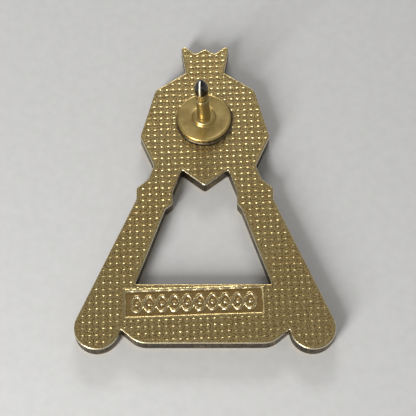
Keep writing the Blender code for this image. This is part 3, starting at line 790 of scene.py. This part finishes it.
class Nodes:
    """A material's node tree, with short ways to add to it."""

    def __init__(self, name):
        self.material = bpy.data.materials.new(name)
        self.material.use_nodes = True
        self.tree = self.material.node_tree
        self.shader = self.tree.nodes["Principled BSDF"]
        self.place = self.tree.nodes.new("ShaderNodeTexCoord").outputs["Object"]

    def link(self, source, target):
        """Join an output to an input."""
        self.tree.links.new(source, target)

    def shaded(self, colour, roughness, normal, **values):
        """The finished material: its colour, roughness and relief, and other sockets' constants."""
        self.link(colour, self.shader.inputs["Base Color"])
        self.link(roughness, self.shader.inputs["Roughness"])
        self.link(normal, self.shader.inputs["Normal"])
        for name, value in values.items():
            self.shader.inputs[name.replace("_", " ")].default_value = value
        return self.material

    def noise(self, size, detail=3.0, roughness=0.5, stretch=(1, 1, 1)):
        """Noise whose lumps are a size in millimetres across, from 0 to 1."""
        mapping = self.tree.nodes.new("ShaderNodeMapping")
        mapping.inputs["Scale"].default_value = [value / (size * MM) for value in stretch]
        self.link(self.place, mapping.inputs["Vector"])
        node = self.tree.nodes.new("ShaderNodeTexNoise")
        node.inputs["Scale"].default_value = 1.0
        node.inputs["Detail"].default_value = detail
        node.inputs["Roughness"].default_value = roughness
        self.link(mapping.outputs["Vector"], node.inputs["Vector"])
        return node.outputs["Fac"]

    def level(self, axis):
        """The place along an axis, in metres."""
        split = self.tree.nodes.new("ShaderNodeSeparateXYZ")
        self.link(self.place, split.inputs["Vector"])
        return split.outputs[axis]

    def facing(self, axis):
        """How far the surface itself faces along an axis, from -1 to 1."""
        split = self.tree.nodes.new("ShaderNodeSeparateXYZ")
        self.link(self.place.node.outputs["Normal"], split.inputs["Vector"])
        return split.outputs[axis]

    def remap(self, source, from_low, from_high, to_low=0.0, to_high=1.0):
        """A value carried from one range into another, and held inside it."""
        node = self.tree.nodes.new("ShaderNodeMapRange")
        ends = {"From Min": from_low, "From Max": from_high, "To Min": to_low, "To Max": to_high}
        for name, value in ends.items():
            node.inputs[name].default_value = value
        self.link(source, node.inputs["Value"])
        return node.outputs["Result"]

    def fade(self, axis, start, end, to_low=0.0, to_high=1.0):
        """A change from one value to another between two places along an axis, in millimetres."""
        return self.remap(self.level(axis), start * MM, end * MM, to_low, to_high)

    def math(self, kind, first, second):
        """One sum on two values, either of which may be a number."""
        node = self.tree.nodes.new("ShaderNodeMath")
        node.operation = kind
        for socket, value in zip(node.inputs, (first, second)):
            if isinstance(value, (int, float)):
                socket.default_value = value
            else:
                self.link(value, socket)
        return node.outputs["Value"]

    def blend(self, share, first, second):
        """A mix of two colours."""
        node = self.tree.nodes.new("ShaderNodeMix")
        node.data_type = "RGBA"
        self.link(share, node.inputs["Factor"])
        for name, value in (("A", first), ("B", second)):
            socket = [item for item in node.inputs if item.name == name and item.type == "RGBA"][0]
            if isinstance(value, tuple):
                socket.default_value = (*value, 1.0)
            else:
                self.link(value, socket)
        return [item for item in node.outputs if item.type == "RGBA"][0]

    def bump(self, height, distance, strength=1.0, before=None):
        """Fine relief, a distance in millimetres deep."""
        node = self.tree.nodes.new("ShaderNodeBump")
        node.inputs["Distance"].default_value = distance * MM
        if isinstance(strength, (int, float)):
            node.inputs["Strength"].default_value = strength
        else:
            self.link(strength, node.inputs["Strength"])
        self.link(height, node.inputs["Height"])
        if before is not None:
            self.link(before, node.inputs["Normal"])
        return node.outputs["Normal"]


def plated_gold(name, back_level):
    """Satin gold plate, grained and blotched, with painted shade in the hollows and painted highlight
    on high parts and rolled edges.
    """
    nodes = Nodes(name)
    # Painted shade and highlight by height: 0 in the hollows between dots and ribs, 1 on the dot tops.
    hollow = nodes.fade("Z", back_level - DOT_FOOT_DEPTH, back_level - DOT_TOP_DEPTH)
    blotch = nodes.noise(1.6, 4.0)
    fine = nodes.noise(0.13, 3.0, 0.6)
    # worn carries the painted shade and highlight of the height mask, plus random grain.
    worn = nodes.math("ADD", hollow, nodes.remap(fine, 0.35, 0.65, -0.4, 0.4))
    ground = nodes.blend(nodes.remap(blotch, 0.35, 0.65), GOLD_DARK, GOLD)
    ground = nodes.blend(nodes.remap(blotch, 0.3, 0.7, 0.3, 0.7), ground, GOLD)
    speckle = nodes.blend(nodes.remap(nodes.noise(0.11, 2.0), 0.42, 0.58), GOLD_GREEN, GOLD_PINK)
    ground = nodes.blend(nodes.remap(nodes.noise(0.7, 2.0), 0.4, 0.7, 0.5, 0.8), ground, speckle)
    pits = nodes.remap(nodes.noise(0.13, 2.0, 0.5), 0.42, 0.54)
    # Hollows go browner (painted shade) and higher parts paler (painted highlight); the pits are
    # random tone.
    metal = nodes.blend(worn, nodes.blend(pits, PIT_BROWN, ground), GOLD_HIGHLIGHT_PALE)
    shade_from, shade_to = [back_level - depth for depth in PANEL_SHADE_DEPTHS]
    sunk = nodes.fade("Z", shade_from, shade_to, 0.0, 0.75)
    metal = nodes.blend(sunk, metal, PANEL_BROWN)
    front = nodes.fade("Z", *FRONT_GOLD_HEIGHTS)
    metal = nodes.blend(front, metal, FRONT_GOLD)
    # Painted highlight: steeply tilted faces, the rolled edges and the frieze's sides, are paled
    # towards near white.
    upright = nodes.math("ABSOLUTE", nodes.facing("Z"), 0.0)
    not_front = nodes.math("SUBTRACT", 1.0, front)
    roll = nodes.math("MULTIPLY", nodes.remap(upright, *ROLL_FACING), not_front)
    rough = nodes.remap(worn, 0.0, 1.0, 0.40, 0.19)
    rough = nodes.math("ADD", rough, nodes.remap(fine, 0.3, 0.7, -0.05, 0.07))
    rough = nodes.math("SUBTRACT", rough, nodes.math("MULTIPLY", roll, 0.12))
    rough = nodes.math("SUBTRACT", rough, nodes.math("MULTIPLY", front, 0.2))
    strength = nodes.remap(front, 0.0, 1.0, 0.65, 0.08)
    coarse = nodes.bump(nodes.noise(0.15, 3.0, 0.6), 0.018, strength)
    relief = nodes.bump(fine, 0.016, strength, coarse)
    # The last mix lays the painted highlight on the rolled edges.
    return nodes.shaded(nodes.blend(roll, metal, ROLL_HIGHLIGHT), rough, relief, Metallic=1.0)


def cut_edge(name):
    """The die-cut edge: painted near black as shade on the walls, and streaked from back to front."""
    nodes = Nodes(name)
    streak = nodes.noise(0.16, 3.0, 0.6, (1, 1, 0.12))
    stain = nodes.remap(nodes.noise(1.3, 4.0), 0.5, 0.75, 0.0, 0.5)
    # Painted shade: the walls' colour is near black, streaked lighter and darker.
    edge = nodes.blend(nodes.remap(streak, 0.35, 0.75), SHADED_EDGE_DARK, SHADED_EDGE_LIGHTER)
    rough = nodes.remap(streak, 0.3, 0.7, 0.48, 0.34)
    relief = nodes.bump(streak, 0.02, 0.7)
    return nodes.shaded(nodes.blend(stain, edge, GOLD_DARK), rough, relief, Metallic=1.0)


def turned_gold(name, centre, face_level):
    """The pad's gold: satin, with faint rings from the lathe and small scuffs, and painted shade at
    its wall's foot but for the lit west.
    """
    nodes = Nodes(name)
    blotch = nodes.noise(1.1, 4.0)
    fine = nodes.noise(0.1, 3.0, 0.6)
    face = nodes.blend(nodes.remap(blotch, 0.35, 0.7), PAD_GOLD_DARK, PAD_GOLD_LIGHT)
    ragged = nodes.remap(fine, 0.3, 0.7, -0.04 * MM, 0.04 * MM)
    height = nodes.math("ADD", nodes.level("Z"), ragged)
    # Painted shade: the foot of the pad's wall goes dark, except on the west side, where the light
    # falls.
    shaded_at = (face_level - PAD_SHADE_DEPTH) * MM
    unshaded_at = (face_level - PAD_UNSHADED_DEPTH) * MM
    unshaded = nodes.remap(height, shaded_at, unshaded_at)
    side = nodes.fade("X", centre[0] - PAD_LIT_WEST_FADE[0], centre[0] - PAD_LIT_WEST_FADE[1], 1.0, 0.0)
    rough = nodes.remap(blotch, 0.3, 0.7, 0.30, 0.38)
    rough = nodes.math("ADD", rough, nodes.remap(fine, 0.3, 0.7, -0.04, 0.05))
    across = nodes.math("SUBTRACT", nodes.level("X"), centre[0] * MM)
    up = nodes.math("SUBTRACT", nodes.level("Y"), centre[1] * MM)
    across_square = nodes.math("MULTIPLY", across, across)
    square = nodes.math("ADD", across_square, nodes.math("MULTIPLY", up, up))
    radius = nodes.math("SQRT", square, 0.0)
    turns = nodes.math("MULTIPLY", radius, 2 * math.pi / (LATHE_PITCH * MM))
    lathe_marks = nodes.bump(nodes.math("SINE", turns, 0.0), 0.004, 0.25)
    relief = nodes.bump(nodes.noise(0.3, 4.0, 0.6), 0.02, 0.4, lathe_marks)
    # This mix lays the painted shade on the pad's wall.
    colour = nodes.blend(nodes.math("MAXIMUM", unshaded, side), PAD_WALL_SHADE, face)
    return nodes.shaded(colour, rough, relief, Metallic=1.0)


def polished_gold(name, tip_level, axis_x, axis_y):
    """The post's gold: bright and finely scratched; the bare tip is painted near black as dark
    reflection, with a painted highlight streak.
    """
    nodes = Nodes(name)
    streak = nodes.noise(0.08, 3.0, 0.6, (1, 1, 0.05))
    blotch = nodes.noise(1.5, 3.0)
    colour = nodes.blend(nodes.remap(blotch, 0.35, 0.65), POST_GOLD_DARK, POST_GOLD_LIGHT)
    ragged = nodes.remap(streak, 0.3, 0.7, -BARE_FADE * MM, BARE_FADE * MM)
    height = nodes.math("ADD", nodes.level("Z"), ragged)
    # The tip is bare metal; its near-black colour is painted dark reflection.
    bare_from = tip_level - TIP_LENGTH - BARE_BELOW_TIP
    bare_tip_painted_dark = nodes.remap(height, (bare_from - BARE_FADE) * MM, (bare_from + BARE_FADE) * MM)
    # Painted highlight: a whitish, less metallic streak down the south side of the tip.
    from_highlight_streak = nodes.math("SUBTRACT", nodes.level("X"), (axis_x + HIGHLIGHT_STREAK_OFFSET) * MM)
    off_highlight_streak = nodes.math("ABSOLUTE", from_highlight_streak, 0.0)
    highlight_streak = nodes.remap(off_highlight_streak, HIGHLIGHT_STREAK_WIDTHS[0] * MM, HIGHLIGHT_STREAK_WIDTHS[1] * MM, 1.0, 0.0)
    highlight_streak = nodes.math("MULTIPLY", highlight_streak, nodes.fade("Y", axis_y - 0.1, axis_y, 1.0, 0.0))
    highlight_streak = nodes.math("MULTIPLY", highlight_streak, bare_tip_painted_dark)
    nodes.link(nodes.remap(highlight_streak, 0.0, 1.0, 1.0, 0.35), nodes.shader.inputs["Metallic"])
    rough = nodes.remap(nodes.math("SUBTRACT", bare_tip_painted_dark, highlight_streak), 0.0, 1.0, 0.30, 0.08)
    rough = nodes.math("ADD", rough, nodes.remap(streak, 0.3, 0.7, 0.0, 0.08))
    metal = nodes.blend(bare_tip_painted_dark, colour, BARE_TIP_PAINTED_DARK)
    return nodes.shaded(nodes.blend(highlight_streak, metal, HIGHLIGHT_STREAK_COLOUR), rough, nodes.bump(streak, 0.004, 0.3))


def dull_solder(name):
    """Solder under the plating: darker, browner and lumpy."""
    nodes = Nodes(name)
    lumps = nodes.noise(0.25, 4.0, 0.6)
    colour = nodes.blend(nodes.remap(lumps, 0.3, 0.7), SOLDER_DARK, SOLDER_LIGHT)
    rough = nodes.remap(lumps, 0.3, 0.7, 0.34, 0.52)
    return nodes.shaded(colour, rough, nodes.bump(lumps, 0.04, 0.6), Metallic=1.0)


def glossy_enamel(name, colour, deep):
    """Fused enamel: a glossy skin over colour that thickens and thins, with a few pinpricks."""
    nodes = Nodes(name)
    cloud = nodes.noise(2.2, 3.0)
    pinpricks = nodes.remap(nodes.noise(0.16, 2.0, 0.4), 0.28, 0.34)
    glaze = nodes.blend(nodes.remap(cloud, 0.35, 0.65), deep, colour)
    rough = nodes.remap(cloud, 0.3, 0.7, 0.10, 0.18)
    relief = nodes.bump(pinpricks, 0.01, 0.3, nodes.bump(cloud, 0.02, 0.35))
    gloss = {"Metallic": 0.0, "Specular_IOR_Level": 0.5, "Coat_Weight": 0.6, "Coat_Roughness": 0.04}
    return nodes.shaded(glaze, rough, relief, **gloss)


# --- The whole badge ------------------------------------------------------------------------------

def enamel_slots():
    """The material slot of each enamel node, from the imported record."""
    subparts = frame["record"]["subparts"]
    fills = [part for part in subparts if part["node"].startswith("enamel_")]
    return {part["node"]: part["material_slot"] for part in fills}


def make_badge():
    """Every piece of the badge, over its CAD node."""
    plate = make_plate()
    plate.data.materials.append(plated_gold("plated_gold", cad_top("badge_plate")))
    plate.data.materials.append(cut_edge("cut_edge"))
    finishes = {slot: glossy_enamel(slot, *colours) for slot, colours in ENAMEL_COLOURS.items()}
    for node, slot in enamel_slots().items():
        make_enamel(node, finishes[slot])
    make_solder().data.materials.append(dull_solder("dull_solder"))
    pad = make_pad()
    pad_face = cad_top("post_pad") - COLLAR_HEIGHT
    pad_middle = upright_middle("post_pad")[0]
    pad.data.materials.append(turned_gold("turned_gold", pad_middle, pad_face))
    low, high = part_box("pin_post")
    tip_x = (low[0] + TIP_SHIFT * (high[0] - low[0])) / MM
    tip_y = (low[1] + high[1]) / 2 / MM
    bright = polished_gold("polished_gold", cad_top("pin_post"), tip_x, tip_y)
    make_post().data.materials.append(bright)


# --- Floor, light and camera ----------------------------------------------------------------------

def make_floor():
    """A plain pale floor."""
    mesh = bpy.data.meshes.new("floor")
    corners = [(-1, -1), (1, -1), (1, 1), (-1, 1)]
    places = [(x * FLOOR_HALF_SIZE, y * FLOOR_HALF_SIZE, FLOOR_LEVEL) for x, y in corners]
    mesh.from_pydata(places, [], [(0, 1, 2, 3)])
    floor = bpy.data.objects.new("floor", mesh)
    bpy.context.scene.collection.objects.link(floor)
    nodes = Nodes("pale_floor")
    grain = nodes.remap(nodes.noise(0.8, 4.0), 0.3, 0.7)
    nodes.link(nodes.blend(grain, FLOOR_DARK, FLOOR_LIGHT), nodes.shader.inputs["Base Color"])
    nodes.shader.inputs["Roughness"].default_value = 0.85
    mesh.materials.append(nodes.material)


def make_light(name, place, size, power):
    """A soft rectangular light that faces the badge."""
    data = bpy.data.lights.new(name, "AREA")
    data.shape = "RECTANGLE"
    data.size, data.size_y = size
    data.energy = power
    lamp = bpy.data.objects.new(name, data)
    lamp.location = place
    lamp.rotation_euler = (-Vector(place)).to_track_quat("-Z", "Y").to_euler()
    bpy.context.scene.collection.objects.link(lamp)


def make_world():
    """Even light from all round."""
    world = bpy.data.worlds.new("soft_room")
    world.use_nodes = True
    shade = world.node_tree.nodes["Background"]
    shade.inputs["Color"].default_value = ROOM_COLOUR
    shade.inputs["Strength"].default_value = ROOM_STRENGTH
    bpy.context.scene.world = world


def make_camera():
    """The camera, where the badge looks as it does in the photo."""
    data = bpy.data.cameras.new("camera")
    data.lens = CAMERA_LENS
    data.sensor_width = SENSOR_WIDTH
    data.clip_start = 0.005
    camera = bpy.data.objects.new("camera", data)
    camera.location = CAMERA_PLACE
    forward = Vector(CAMERA_HEADING).normalized()
    turn = forward.to_track_quat("-Z", "Y")
    camera.rotation_mode = "QUATERNION"
    camera.rotation_quaternion = Quaternion(forward, CAMERA_ROLL) @ turn
    bpy.context.scene.collection.objects.link(camera)
    bpy.context.scene.camera = camera


make_badge()
make_floor()
make_world()
make_light("north", (-0.01, 0.227, 0.128), (0.11, 0.05), 0.19)
make_light("south", (-0.083, -0.128, 0.08), (0.05, 0.10), 0.27)
make_camera()
bpy.context.scene.view_settings.view_transform = "Standard"
